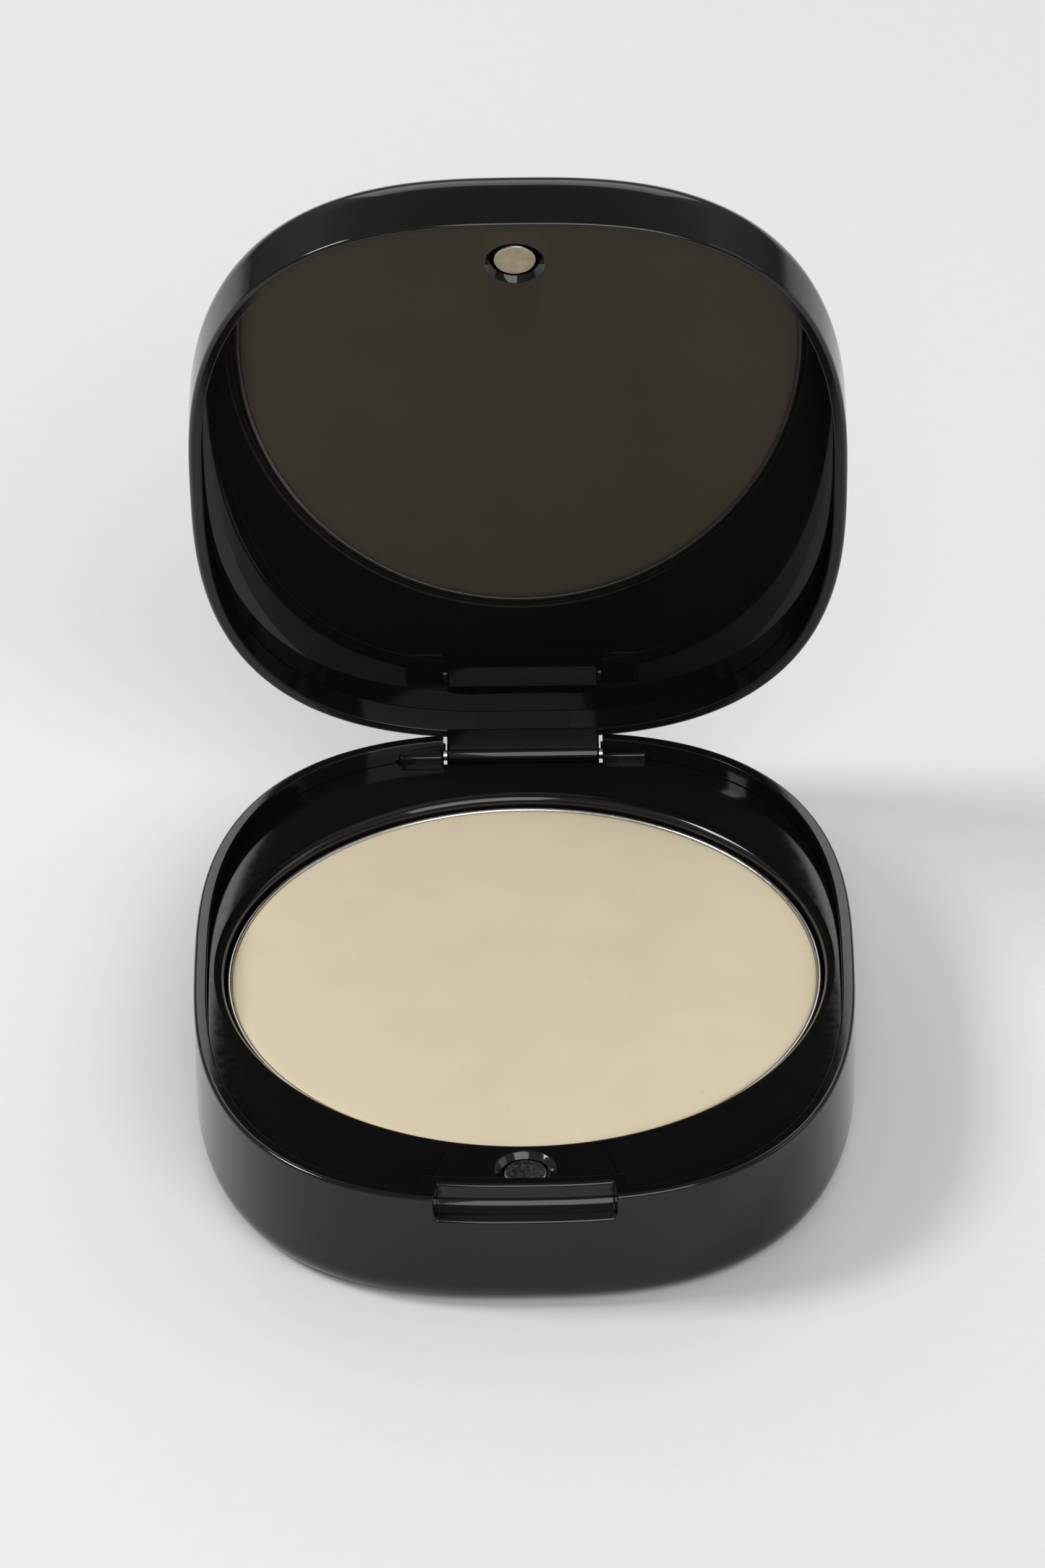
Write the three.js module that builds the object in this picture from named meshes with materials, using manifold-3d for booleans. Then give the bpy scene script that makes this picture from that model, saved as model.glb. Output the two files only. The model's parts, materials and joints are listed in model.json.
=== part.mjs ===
// Powder compact: a black two-part case with a hinged lid, a metal pan of pressed powder
// and a magnet catch. Millimetres, +Z up. The origin is the middle of the underside.
// The hinge is at the back (+Y) and the thumb notch at the front (-Y).
import * as THREE from 'three';
import { mergeVertices } from 'three/addons/utils/BufferGeometryUtils.js';
import Module from 'manifold-3d';

const wasm = await Module();
wasm.setup();

// ---- driving dimensions ----
const HALF_WIDTH = 32.7;        // outline of the closed case, half of it along X
const HALF_DEPTH = 40.4;        // and along Y
const SQUARENESS = 2.72;        // superellipse exponent of the outline
const OUTLINE_STEPS = 96;
const BASE_HEIGHT = 13.0;
const LID_HEIGHT = 7.7;
const EDGE_RADIUS = 3.0;        // rounding round the underside and the top
const EDGE_STEPS = 4;
const RIM_CHAMFER = 0.5;        // slope outside each rim, making a groove when closed
const WALL = 1.3;
const BASE_FLOOR = 1.8;
const LID_CEILING = 1.5;
const FIT_GAP = 0.15;           // between an insert and its shell

const OPEN_ANGLE = THREE.MathUtils.degToRad(72);
const HINGE_Y = 39.7;
const HINGE_DROP = 2.4;         // hinge axis below the parting plane
const KNUCKLE_RADIUS = 1.3;
const KNUCKLE_HALF_WIDTH = 7.75;
const SLOT_HALF_WIDTH = 8.1;
const PIN_RADIUS = 0.55;
const PIN_BORE_RADIUS = 0.7;
const PIN_INNER_END = 4.6;
const PIN_OUTER_END = 11.2;
const CHEEK_OUTER_END = 12.6;
const BARREL_RADIUS = 1.25;     // housing round each pin, standing out of the back wall
const BARREL_OUTER_END = 12;
const CHEEK_REACH = 2.2;        // from the hinge axis to the front of the cheeks
const CHEEK_BACK_GAP = 0.4;     // from the back of the cheeks to the outline
const CHEEK_DROP = 1.1;         // top of the cheeks below the parting plane
const SLOT_REACH = 2.6;         // from the hinge axis to the front of the slot
const SLOT_CLEARANCE = 0.5;     // under the knuckle
const BORE_END_GAP = 0.3;
const BORE_BLIND_GAP = 0.4;
const LUG_GAP = 0.3;            // round the lug, in the lid's panel

const TRAY_DROP = 2.0;          // tray face below the parting plane
const TRAY_THICKNESS = 1.5;
const WELL_Y = 1.7;             // middle of the powder well
const WELL_RADIUS = 29.8;
const WELL_EDGE_RADIUS = 1.0;
const WELL_DEPTH = 6.2;
const WELL_WALL = 1.1;
const PAN_RADIUS = 29.5;
const PAN_HEIGHT = 4.7;
const PAN_SHEET = 0.45;
const PAN_DROP = 1.1;           // pan rim below the tray face
const PAD_RADIUS = 20;
const PAD_THICKNESS = 0.3;

const MAGNET_Y = -32.5;
const LID_MAGNET_Y = -31.4;
const MAGNET_RADIUS = 2.1;
const MAGNET_THICKNESS = 1.4;
const MAGNET_RECESS = 0.4;
const POCKET_RADIUS = 2.45;
const COUNTERSINK_RADIUS = 2.95;
const COUNTERSINK_DEPTH = 0.6;
const BOSS_RADIUS = 3.6;
const BOSS_FLOOR = 2.0;         // boss wall under the magnet

const PANEL_RISE = 2.7;         // lid panel face above the parting plane
const PANEL_THICKNESS = 1.2;
const RIB_TOP = 4.9;
const PANEL_INSET = 1.6;
const RIB_INSET = 2.5;          // from the panel's edge to its rib
const RIB_WIDTH = 2.0;
const TAPE_INSET = 3.0;
const TAPE_WIDTH = 2.6;
const TAPE_GAP = 0.2;

const NOTCH_HALF_WIDTH = 8.7;
const NOTCH_DEPTH = 2.6;
const NOTCH_HEIGHT = 2.4;

const LABEL_RADIUS = 13;
const LABEL_Y = 18;
const LABEL_RECESS = 0.4;
const LABEL_THICKNESS = 0.2;
const LABEL_GAP = 0.3;          // round the label, in its recess
const WEIGHT_RADIUS = 25;
const WEIGHT_THICKNESS = 1.3;
const SKIN = 0.05;              // thin gap that keeps two flat faces apart
const JOIN = 0.5;               // how far joined shapes run into each other

const PARTING_Z = BASE_HEIGHT;
const HINGE_Z = PARTING_Z - HINGE_DROP;
const TRAY_Z = PARTING_Z - TRAY_DROP;
const ROUND = 48;
const FAR = 100;

// ---- helpers: outlines, solids and booleans ----

// The case outline moved inwards by inset, as a closed three.js shape.
function outline(inset = 0) {
  const points = [];
  for (let i = 0; i < OUTLINE_STEPS; i++) {
    const angle = (i / OUTLINE_STEPS) * 2 * Math.PI;
    const across = Math.abs(Math.cos(angle) / (HALF_WIDTH - inset)) ** SQUARENESS;
    const along = Math.abs(Math.sin(angle) / (HALF_DEPTH - inset)) ** SQUARENESS;
    const reach = (across + along) ** (-1 / SQUARENESS);
    points.push(new THREE.Vector2(reach * Math.cos(angle), reach * Math.sin(angle)));
  }
  return new THREE.Shape(points);
}

function toSolid(geometry) {
  const bare = geometry.clone();
  bare.deleteAttribute('normal');
  bare.deleteAttribute('uv');
  const merged = mergeVertices(bare, 1e-4);
  return new wasm.Manifold(new wasm.Mesh({
    numProp: 3,
    vertProperties: new Float32Array(merged.attributes.position.array),
    triVerts: new Uint32Array(merged.index.array),
  }));
}

function toGeometry(solid) {
  const mesh = solid.getMesh();
  const geometry = new THREE.BufferGeometry();
  geometry.setAttribute('position', new THREE.BufferAttribute(mesh.vertProperties, 3));
  geometry.setIndex(new THREE.BufferAttribute(mesh.triVerts, 1));
  geometry.computeVertexNormals();
  return geometry;
}

// A slab of the case outline between two heights.
function slab(inset, bottom, top) {
  const geometry = new THREE.ExtrudeGeometry(outline(inset), {
    depth: top - bottom,
    bevelEnabled: false,
  });
  geometry.translate(0, 0, bottom);
  return toSolid(geometry);
}

// A slab of the case outline with every edge rounded or chamfered.
function edgedSlab(bottom, top, edge, steps) {
  const geometry = new THREE.ExtrudeGeometry(outline(), {
    depth: top - bottom - 2 * edge,
    bevelEnabled: true,
    bevelThickness: edge,
    bevelSize: edge,
    bevelOffset: -edge,
    bevelSegments: steps,
  });
  geometry.translate(0, 0, bottom + edge);
  return toSolid(geometry);
}

function box(x0, x1, y0, y1, z0, z1) {
  const geometry = new THREE.BoxGeometry(x1 - x0, y1 - y0, z1 - z0);
  geometry.translate((x0 + x1) / 2, (y0 + y1) / 2, (z0 + z1) / 2);
  return toSolid(geometry);
}

// A body of revolution on a vertical axis; the profile is a list of [radius, height].
function turned(profile, x, y) {
  const points = profile.map(([radius, height]) => new THREE.Vector2(radius, height));
  const geometry = new THREE.LatheGeometry(points, ROUND);
  geometry.rotateX(Math.PI / 2);
  geometry.translate(x, y, 0);
  return toSolid(geometry);
}

function disc(radius, bottom, top, x = 0, y = 0) {
  return turned([[0, bottom], [radius, bottom], [radius, top], [0, top]], x, y);
}

// A cylinder along X.
function rod(radius, x0, x1, y, z, sides = 24) {
  const geometry = new THREE.CylinderGeometry(radius, radius, x1 - x0, sides);
  geometry.rotateZ(Math.PI / 2);
  geometry.translate((x0 + x1) / 2, y, z);
  return toSolid(geometry);
}

const toHinge = new THREE.Matrix4().makeTranslation(0, -HINGE_Y, -HINGE_Z);

function part(name, solid, colour, roughness, metalness) {
  const material = new THREE.MeshStandardMaterial({ color: colour, roughness, metalness });
  const mesh = new THREE.Mesh(toGeometry(solid), material);
  mesh.name = name;
  return mesh;
}

// A part of the lid is drawn where it lies when closed, then referred to the hinge axis.
function lidPart(name, solid, colour, roughness, metalness) {
  const mesh = part(name, solid, colour, roughness, metalness);
  mesh.geometry.applyMatrix4(toHinge);
  return mesh;
}

// ---- base ----

// Support posts under the tray, clear of the round well.
const POSTS = [[-21, -29.5], [21, -29.5], [-21, 30.5], [21, 30.5]];
const POST_RADIUS = 1.6;

// The cove of the thumb notch: a block with a quarter-round back edge, cut from the front.
function notchCutter(grow) {
  const back = -HALF_DEPTH + NOTCH_DEPTH + grow;
  const floor = PARTING_Z - NOTCH_HEIGHT - grow;
  const halfWidth = NOTCH_HALF_WIDTH + grow;
  const block = box(-halfWidth, halfWidth, -HALF_DEPTH - 5, back, floor, PARTING_Z + 5);
  const cove = rod(NOTCH_HEIGHT, -FAR, FAR, back - NOTCH_HEIGHT, floor + NOTCH_HEIGHT, 40);
  const front = box(-FAR, FAR, -FAR, back - NOTCH_HEIGHT, -FAR, FAR);
  const above = box(-FAR, FAR, -FAR, FAR, floor + NOTCH_HEIGHT, FAR);
  return block.intersect(cove.add(front).add(above));
}

function baseShell() {
  const rounded = edgedSlab(0, BASE_HEIGHT + 2 * EDGE_RADIUS, EDGE_RADIUS, EDGE_STEPS);
  const chamfered = edgedSlab(-5, BASE_HEIGHT, RIM_CHAMFER, 1);
  const outside = rounded.intersect(chamfered);
  let shell = outside.subtract(slab(WALL, BASE_FLOOR, PARTING_Z + 5));

  // cheeks that hold the hinge pins, and the back stiffener between them
  const cheeks = box(-CHEEK_OUTER_END, CHEEK_OUTER_END, HINGE_Y - CHEEK_REACH,
    HALF_DEPTH - CHEEK_BACK_GAP, BASE_FLOOR - JOIN, PARTING_Z - CHEEK_DROP);
  shell = shell.add(cheeks.intersect(outside));
  shell = shell.add(rod(BARREL_RADIUS, -BARREL_OUTER_END, BARREL_OUTER_END, HINGE_Y, HINGE_Z, 32));
  shell = shell.subtract(box(-SLOT_HALF_WIDTH, SLOT_HALF_WIDTH, HINGE_Y - SLOT_REACH, FAR,
    HINGE_Z - KNUCKLE_RADIUS - SLOT_CLEARANCE, FAR));
  const boreEnd = PIN_OUTER_END + BORE_END_GAP;
  shell = shell.subtract(rod(PIN_BORE_RADIUS, -boreEnd, boreEnd, HINGE_Y, HINGE_Z));

  // thumb notch, with the wall carried round behind it
  const boss = notchCutter(WALL).intersect(outside);
  shell = shell.add(boss).subtract(notchCutter(0));

  for (const [x, y] of POSTS) {
    shell = shell.add(disc(POST_RADIUS, BASE_FLOOR - JOIN, TRAY_Z - TRAY_THICKNESS - 2 * SKIN, x, y));
  }
  // shallow recess for the label
  return shell.subtract(disc(LABEL_RADIUS + LABEL_GAP, -1, LABEL_RECESS, 0, LABEL_Y));
}

function baseTray() {
  let tray = slab(WALL + FIT_GAP, TRAY_Z - TRAY_THICKNESS, TRAY_Z);
  const wellFloor = TRAY_Z - WELL_DEPTH;
  const cupRadius = WELL_RADIUS + WELL_WALL;
  tray = tray.add(disc(cupRadius, wellFloor - WELL_WALL, TRAY_Z - JOIN, 0, WELL_Y));
  tray = tray.add(disc(BOSS_RADIUS, TRAY_Z - MAGNET_THICKNESS - BOSS_FLOOR,
    TRAY_Z - JOIN, 0, MAGNET_Y));

  // the well, with its mouth rolled outwards
  const well = [[0, wellFloor], [WELL_RADIUS, wellFloor]];
  const lipSteps = 4;
  for (let i = 0; i <= lipSteps; i++) {
    const angle = (i / lipSteps) * (Math.PI / 2);
    const radius = WELL_RADIUS + WELL_EDGE_RADIUS * (1 - Math.cos(angle));
    well.push([radius, TRAY_Z - WELL_EDGE_RADIUS * (1 - Math.sin(angle))]);
  }
  well.push([WELL_RADIUS + WELL_EDGE_RADIUS, TRAY_Z + 3], [0, TRAY_Z + 3]);
  tray = tray.subtract(turned(well, 0, WELL_Y));

  tray = tray.subtract(disc(POCKET_RADIUS, TRAY_Z - MAGNET_RECESS - MAGNET_THICKNESS - 2 * SKIN,
    TRAY_Z + 1, 0, MAGNET_Y));
  tray = tray.subtract(turned([
    [0, TRAY_Z - COUNTERSINK_DEPTH],
    [POCKET_RADIUS, TRAY_Z - COUNTERSINK_DEPTH],
    [COUNTERSINK_RADIUS, TRAY_Z],
    [COUNTERSINK_RADIUS, TRAY_Z + 1],
    [0, TRAY_Z + 1],
  ], 0, MAGNET_Y));

  // clearances for the notch wall at the front and the cheeks and knuckle at the back
  tray = tray.subtract(notchCutter(WALL + FIT_GAP));
  tray = tray.subtract(box(-CHEEK_OUTER_END - 2 * FIT_GAP, CHEEK_OUTER_END + 2 * FIT_GAP,
    HINGE_Y - SLOT_REACH, FAR, -FAR, FAR));
  return tray;
}

const PAN_TOP = TRAY_Z - PAN_DROP;
const PAN_BOTTOM = PAN_TOP - PAN_HEIGHT;

function powderPan() {
  const body = disc(PAN_RADIUS, PAN_BOTTOM, PAN_TOP, 0, WELL_Y);
  return body.subtract(disc(PAN_RADIUS - PAN_SHEET, PAN_BOTTOM + PAN_SHEET, PAN_TOP + 1,
    0, WELL_Y));
}

function pressedPowder() {
  const radius = PAN_RADIUS - PAN_SHEET - SKIN;
  const bottom = PAN_BOTTOM + PAN_SHEET + SKIN;
  return turned([
    [0, bottom],
    [radius, bottom],
    [radius, PAN_TOP - 0.25],
    [radius - 0.35, PAN_TOP - 0.05],
    [0, PAN_TOP],
  ], 0, WELL_Y);
}

// ---- lid, drawn closed ----

function lidShell() {
  const top = PARTING_Z + LID_HEIGHT;
  const rounded = edgedSlab(PARTING_Z - 2 * EDGE_RADIUS, top, EDGE_RADIUS, EDGE_STEPS);
  const chamfered = edgedSlab(PARTING_Z, top + 5, RIM_CHAMFER, 1);
  let shell = rounded.intersect(chamfered);
  shell = shell.subtract(slab(WALL, PARTING_Z - 5, top - LID_CEILING));

  // hinge knuckle: a lug as thick as the knuckle, hanging from the back wall
  const lugTop = PARTING_Z + PANEL_RISE + PANEL_THICKNESS;
  const lug = box(-KNUCKLE_HALF_WIDTH, KNUCKLE_HALF_WIDTH, HINGE_Y - KNUCKLE_RADIUS,
    HINGE_Y + KNUCKLE_RADIUS, HINGE_Z, lugTop);
  const web = box(-KNUCKLE_HALF_WIDTH, KNUCKLE_HALF_WIDTH, HINGE_Y - KNUCKLE_RADIUS,
    HINGE_Y, HINGE_Z, top - LID_CEILING + JOIN);
  shell = shell.add(lug).add(web);
  shell = shell.add(rod(KNUCKLE_RADIUS, -KNUCKLE_HALF_WIDTH, KNUCKLE_HALF_WIDTH,
    HINGE_Y, HINGE_Z, 32));
  for (const side of [-1, 1]) {
    const ends = [side * (PIN_INNER_END - BORE_BLIND_GAP), side * (KNUCKLE_HALF_WIDTH + 1)];
    shell = shell.subtract(rod(PIN_BORE_RADIUS, Math.min(...ends), Math.max(...ends),
      HINGE_Y, HINGE_Z));
  }
  return shell;
}

function lidPanel() {
  const face = PARTING_Z + PANEL_RISE;
  let panel = slab(PANEL_INSET, face, face + PANEL_THICKNESS);

  // stiffening rib on the hidden side, and the boss round the magnet
  const ribInset = PANEL_INSET + RIB_INSET;
  const rib = slab(ribInset, face + JOIN, PARTING_Z + RIB_TOP);
  panel = panel.add(rib.subtract(slab(ribInset + RIB_WIDTH, face, FAR)));
  panel = panel.add(disc(BOSS_RADIUS, face + JOIN, PARTING_Z + RIB_TOP, 0, LID_MAGNET_Y));
  panel = panel.subtract(disc(POCKET_RADIUS, face - 1,
    face + MAGNET_RECESS + MAGNET_THICKNESS + 2 * SKIN, 0, LID_MAGNET_Y));
  panel = panel.subtract(turned([
    [0, face - 1],
    [COUNTERSINK_RADIUS, face - 1],
    [COUNTERSINK_RADIUS, face],
    [POCKET_RADIUS, face + COUNTERSINK_DEPTH],
    [0, face + COUNTERSINK_DEPTH],
  ], 0, LID_MAGNET_Y));
  // clearance for the hinge lug
  const cutHalfWidth = KNUCKLE_HALF_WIDTH + LUG_GAP;
  return panel.subtract(box(-cutHalfWidth, cutHalfWidth,
    HINGE_Y - KNUCKLE_RADIUS - LUG_GAP, FAR, 0, FAR));
}

// Foam tape between the panel's rib and the ceiling of the lid.
function panelTape() {
  const bottom = PARTING_Z + RIB_TOP + TAPE_GAP;
  const top = PARTING_Z + LID_HEIGHT - LID_CEILING - TAPE_GAP;
  const inset = WALL + TAPE_INSET;
  return slab(inset, bottom, top).subtract(slab(inset + TAPE_WIDTH, bottom - 1, top + 1));
}

// ---- assembly ----

const BLACK = '#0d0c0b';
const STEEL = '#c9c6c0';
const compact = new THREE.Group();

compact.add(part('base_shell', baseShell(), BLACK, 0.16, 0));
compact.add(part('base_tray', baseTray(), BLACK, 0.14, 0));
compact.add(part('powder_pan', powderPan(), '#b9b2a4', 0.35, 1));
compact.add(part('pressed_powder', pressedPowder(), '#daccaf', 0.9, 0));
const padBottom = TRAY_Z - WELL_DEPTH + SKIN;
compact.add(part('pan_adhesive_pad',
  disc(PAD_RADIUS, padBottom, padBottom + PAD_THICKNESS, 0, WELL_Y), '#e8e4d8', 0.8, 0));
compact.add(part('base_magnet',
  disc(MAGNET_RADIUS, TRAY_Z - MAGNET_RECESS - MAGNET_THICKNESS, TRAY_Z - MAGNET_RECESS,
    0, MAGNET_Y), '#8f8c88', 0.3, 1));
compact.add(part('weight_plate',
  disc(WEIGHT_RADIUS, BASE_FLOOR + SKIN, BASE_FLOOR + SKIN + WEIGHT_THICKNESS, 0, WELL_Y),
  STEEL, 0.4, 1));
compact.add(part('underside_label',
  disc(LABEL_RADIUS, LABEL_RECESS - SKIN - LABEL_THICKNESS, LABEL_RECESS - SKIN, 0, LABEL_Y),
  '#c8c6c2', 0.5, 0));
for (const [name, side] of [['hinge_pin_left', -1], ['hinge_pin_right', 1]]) {
  const ends = [side * PIN_INNER_END, side * PIN_OUTER_END];
  const pin = rod(PIN_RADIUS, Math.min(...ends), Math.max(...ends), HINGE_Y, HINGE_Z);
  compact.add(part(name, pin, STEEL, 0.2, 1));
}

const lid = new THREE.Group();
lid.position.set(0, HINGE_Y, HINGE_Z);
lid.rotation.x = -OPEN_ANGLE;
lid.add(lidPart('lid_shell', lidShell(), BLACK, 0.12, 0));
lid.add(lidPart('lid_inner_panel', lidPanel(), BLACK, 0.05, 0));
lid.add(lidPart('lid_panel_tape', panelTape(), '#2b2b2b', 0.9, 0));
const lidMagnetFace = PARTING_Z + PANEL_RISE + MAGNET_RECESS;
lid.add(lidPart('lid_magnet',
  disc(MAGNET_RADIUS, lidMagnetFace, lidMagnetFace + MAGNET_THICKNESS, 0, LID_MAGNET_Y),
  '#9c957f', 0.3, 1));
compact.add(lid);

export default compact;
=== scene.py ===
import json
import math

import bmesh
import bpy
from mathutils import Matrix, Vector


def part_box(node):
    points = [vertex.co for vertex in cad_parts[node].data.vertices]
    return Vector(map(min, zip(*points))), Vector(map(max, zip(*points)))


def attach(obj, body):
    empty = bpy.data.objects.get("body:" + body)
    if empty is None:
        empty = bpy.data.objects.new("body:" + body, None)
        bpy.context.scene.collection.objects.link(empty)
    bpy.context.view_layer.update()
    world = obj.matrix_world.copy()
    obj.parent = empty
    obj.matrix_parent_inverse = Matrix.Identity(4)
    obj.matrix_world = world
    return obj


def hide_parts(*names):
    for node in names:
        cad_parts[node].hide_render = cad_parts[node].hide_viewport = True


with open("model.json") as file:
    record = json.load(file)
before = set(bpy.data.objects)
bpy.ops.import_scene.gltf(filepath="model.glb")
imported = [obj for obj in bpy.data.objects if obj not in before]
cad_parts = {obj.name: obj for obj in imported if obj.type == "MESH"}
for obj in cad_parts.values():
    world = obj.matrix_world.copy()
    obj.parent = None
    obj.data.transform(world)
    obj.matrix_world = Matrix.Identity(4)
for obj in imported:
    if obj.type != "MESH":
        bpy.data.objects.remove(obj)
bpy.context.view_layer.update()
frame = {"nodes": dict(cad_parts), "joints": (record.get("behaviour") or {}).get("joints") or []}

MM = 0.001
FAR = 5 * MM                  # how far a cutter runs past what it cuts
JOIN = 1 * MM                 # how far joined shapes run into each other
AXIS = 0.05 * MM              # radius at which a turned profile starts and ends

# ---- sizes taken from the frame ----

base_low, base_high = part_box("base_shell")
tray_low, tray_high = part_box("base_tray")
pan_low, pan_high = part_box("powder_pan")
powder_low, powder_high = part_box("pressed_powder")
base_magnet_low, base_magnet_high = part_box("base_magnet")
label_low, label_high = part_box("underside_label")
hinge = next(joint for joint in frame["joints"] if joint["name"] == "lid_hinge")

HALF_WIDTH = base_high.x
HALF_DEPTH = -base_low.y
PARTING_Z = base_high.z
TRAY_Z = tray_high.z
WELL_Y = (pan_low.y + pan_high.y) / 2
PAN_RADIUS = pan_high.x
MAGNET_RADIUS = base_magnet_high.x
MAGNET_Y = (base_magnet_low.y + base_magnet_high.y) / 2
LABEL_Y = (label_low.y + label_high.y) / 2
HINGE = Vector(hinge["pos_m"])
OPEN_ANGLE = -math.radians(hinge["range_deg"][0])

# ---- sizes of the moulding ----

SQUARENESS = 2.72             # superellipse exponent of the outline
COLUMNS = 360                 # points round the outline, before the extra ones at the notch
LID_HEIGHT = 7.7 * MM
EDGE_RADIUS = 3.0 * MM        # underside of the base and top of the lid
RIM_ROUND = 0.42 * MM         # outer edge of each rim
RIM_INNER_ROUND = 0.14 * MM
RIM_GAP = 0.04 * MM           # keeps the two rims from touching when closed
WALL = 1.3 * MM
BASE_FLOOR = 1.8 * MM
LID_CEILING = 1.5 * MM
SUPPORT = 0.03 * MM           # narrow band that keeps a flat face flat beside a rounding

NOTCH_HALF_WIDTH = 8.7 * MM
NOTCH_DEPTH = 2.5 * MM
NOTCH_FLOOR = PARTING_Z - 2.5 * MM
NOTCH_LIP = 0.45 * MM
NOTCH_COVE = 1.5 * MM
NOTCH_CORNER = 0.5 * MM       # width of the rounding at the notch's two ends
NOTCH_STEP = 0.05 * MM

TRAY_INSET = 1.33 * MM
TRAY_THICKNESS = 1.5 * MM
WELL_RADIUS = 29.8 * MM
WELL_EDGE = 1.0 * MM
WELL_DEPTH = 6.2 * MM
WELL_WALL = 1.1 * MM
POCKET_RADIUS = 2.45 * MM
COUNTERSINK_RADIUS = 2.95 * MM
COUNTERSINK_DEPTH = 0.6 * MM
MAGNET_RECESS = 0.4 * MM
POCKET_FLOOR_GAP = 0.1 * MM
BOSS_RADIUS = 3.6 * MM
BOSS_DEPTH = 4.0 * MM
BOSS_OVERLAP = 0.2 * MM
LABEL_GAP = 0.3 * MM          # round the label, in its recess
LABEL_RECESS = 0.4 * MM
MAGNET_THICKNESS = 1.4 * MM
LID_MAGNET_Y = -31.4 * MM

PANEL_INSET = 1.33 * MM
PANEL_Z = PARTING_Z + 2.7 * MM
PANEL_THICKNESS = 1.2 * MM
PANEL_CUT_REACH = 0.75 * MM   # from the hinge axis to the front of the cut for the lug
PANEL_CUT_GAP = 0.3 * MM      # beside the lug

KNUCKLE_RADIUS = 1.3 * MM
KNUCKLE_HALF_WIDTH = 7.75 * MM
SLOT_HALF_WIDTH = 8.1 * MM
SLOT_BACK_HALF_WIDTH = 7.9 * MM  # narrower where it opens through the back wall
SLOT_REACH = 2.6 * MM         # from the hinge axis to the front of the slot
SLOT_BACK_REACH = 0.62 * MM   # and to where it narrows
SLOT_CLEARANCE = 0.5 * MM     # under the knuckle
CHEEK_HALF_WIDTH = 12.6 * MM
CHEEK_REACH = 2.2 * MM        # from the hinge axis to the front of the cheeks
CHEEK_BACK_INSET = 1.5 * MM   # ends them inside the back wall, which curves in here
CHEEK_DROP = 1.1 * MM         # their top below the parting plane
CHEEK_EDGE = 0.35 * MM
SILL_BACK_INSET = 0.8 * MM
TRAY_CUT_REACH = 2.25 * MM    # from the hinge axis to the back edge of the tray
TRAY_CUT_GAP = 0.3 * MM       # beside the cheeks
BARREL_RADIUS = 1.25 * MM
BARREL_END = 12.0 * MM
BARREL_EDGE = 0.3 * MM
PIN_RADIUS = 0.55 * MM
PIN_BORE = 0.7 * MM
PIN_INNER_END = 4.6 * MM
PIN_OUTER_END = 11.2 * MM
PIN_EDGE = 0.15 * MM
BORE_END_GAP = 0.3 * MM
BORE_BLIND_GAP = 0.4 * MM
LUG_TOP = PARTING_Z + 5.9 * MM
LUG_SHOULDER = PARTING_Z + 3.1 * MM
LUG_THICKNESS_BEHIND = 0.2 * MM  # behind the hinge axis, at the top of the lug
LUG_STEP = 0.62 * MM          # how far its front steps back above the parting plane
LUG_EASE = 0.28 * MM          # rounding of its edges

LID_OPEN = (Matrix.Translation(HINGE) @ Matrix.Rotation(-OPEN_ANGLE, 4, "X")
            @ Matrix.Translation(-HINGE))


# ---- mesh helpers ----

def new_object(name, mesh):
    piece = bpy.data.objects.new(name, mesh)
    bpy.context.scene.collection.objects.link(piece)
    return piece


def object_from(name, vertices, faces):
    mesh = bpy.data.meshes.new(name)
    mesh.from_pydata([tuple(v) for v in vertices], [], faces)
    shell = bmesh.new()
    shell.from_mesh(mesh)
    bmesh.ops.remove_doubles(shell, verts=shell.verts, dist=1e-7)
    bmesh.ops.recalc_face_normals(shell, faces=shell.faces)
    shell.to_mesh(mesh)
    shell.free()
    return new_object(name, mesh)


def loft(name, rings):
    """A closed body from rings of equal length; both ends close on their middle point."""
    count = len(rings[0])
    vertices = [point for ring in rings for point in ring]
    faces = []
    for row in range(len(rings) - 1):
        for i in range(count):
            j = (i + 1) % count
            faces.append((row * count + i, row * count + j,
                          (row + 1) * count + j, (row + 1) * count + i))
    for ring, start in ((rings[0], 0), (rings[-1], (len(rings) - 1) * count)):
        middle = sum((Vector(point) for point in ring), Vector()) / count
        vertices.append(middle)
        faces += [(start + i, start + (i + 1) % count, len(vertices) - 1) for i in range(count)]
    return object_from(name, vertices, faces)


def arc(centre, radius, start, end, steps):
    """Points on an arc in a plane; the angles are in degrees."""
    points = []
    for i in range(steps + 1):
        angle = math.radians(start + (end - start) * i / steps)
        points.append((centre[0] + radius * math.cos(angle), centre[1] + radius * math.sin(angle)))
    return points


def turned(name, profile, x, y, steps=128):
    """A body of revolution on a vertical axis. The profile, radius and height, starts and
    ends near the axis."""
    rings = []
    for radius, height in profile:
        rings.append([Vector((x + radius * math.cos(2 * math.pi * i / steps),
                              y + radius * math.sin(2 * math.pi * i / steps), height))
                      for i in range(steps)])
    return loft(name, rings)


def round_bar(name, radius, x0, x1, y, z, edge=0.0, steps=48):
    """A cylinder along X, with rounded ends if edge is given."""
    profile = [(radius * 0.05, x0)]
    if edge:
        profile += arc((radius - edge, x0 + edge), edge, -90, 0, 5)
        profile += arc((radius - edge, x1 - edge), edge, 0, 90, 5)
    else:
        profile += [(radius, x0), (radius, x1)]
    profile.append((radius * 0.05, x1))
    rings = [[Vector((along, y + r * math.cos(2 * math.pi * i / steps),
                      z + r * math.sin(2 * math.pi * i / steps))) for i in range(steps)]
             for r, along in profile]
    return loft(name, rings)


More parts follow.
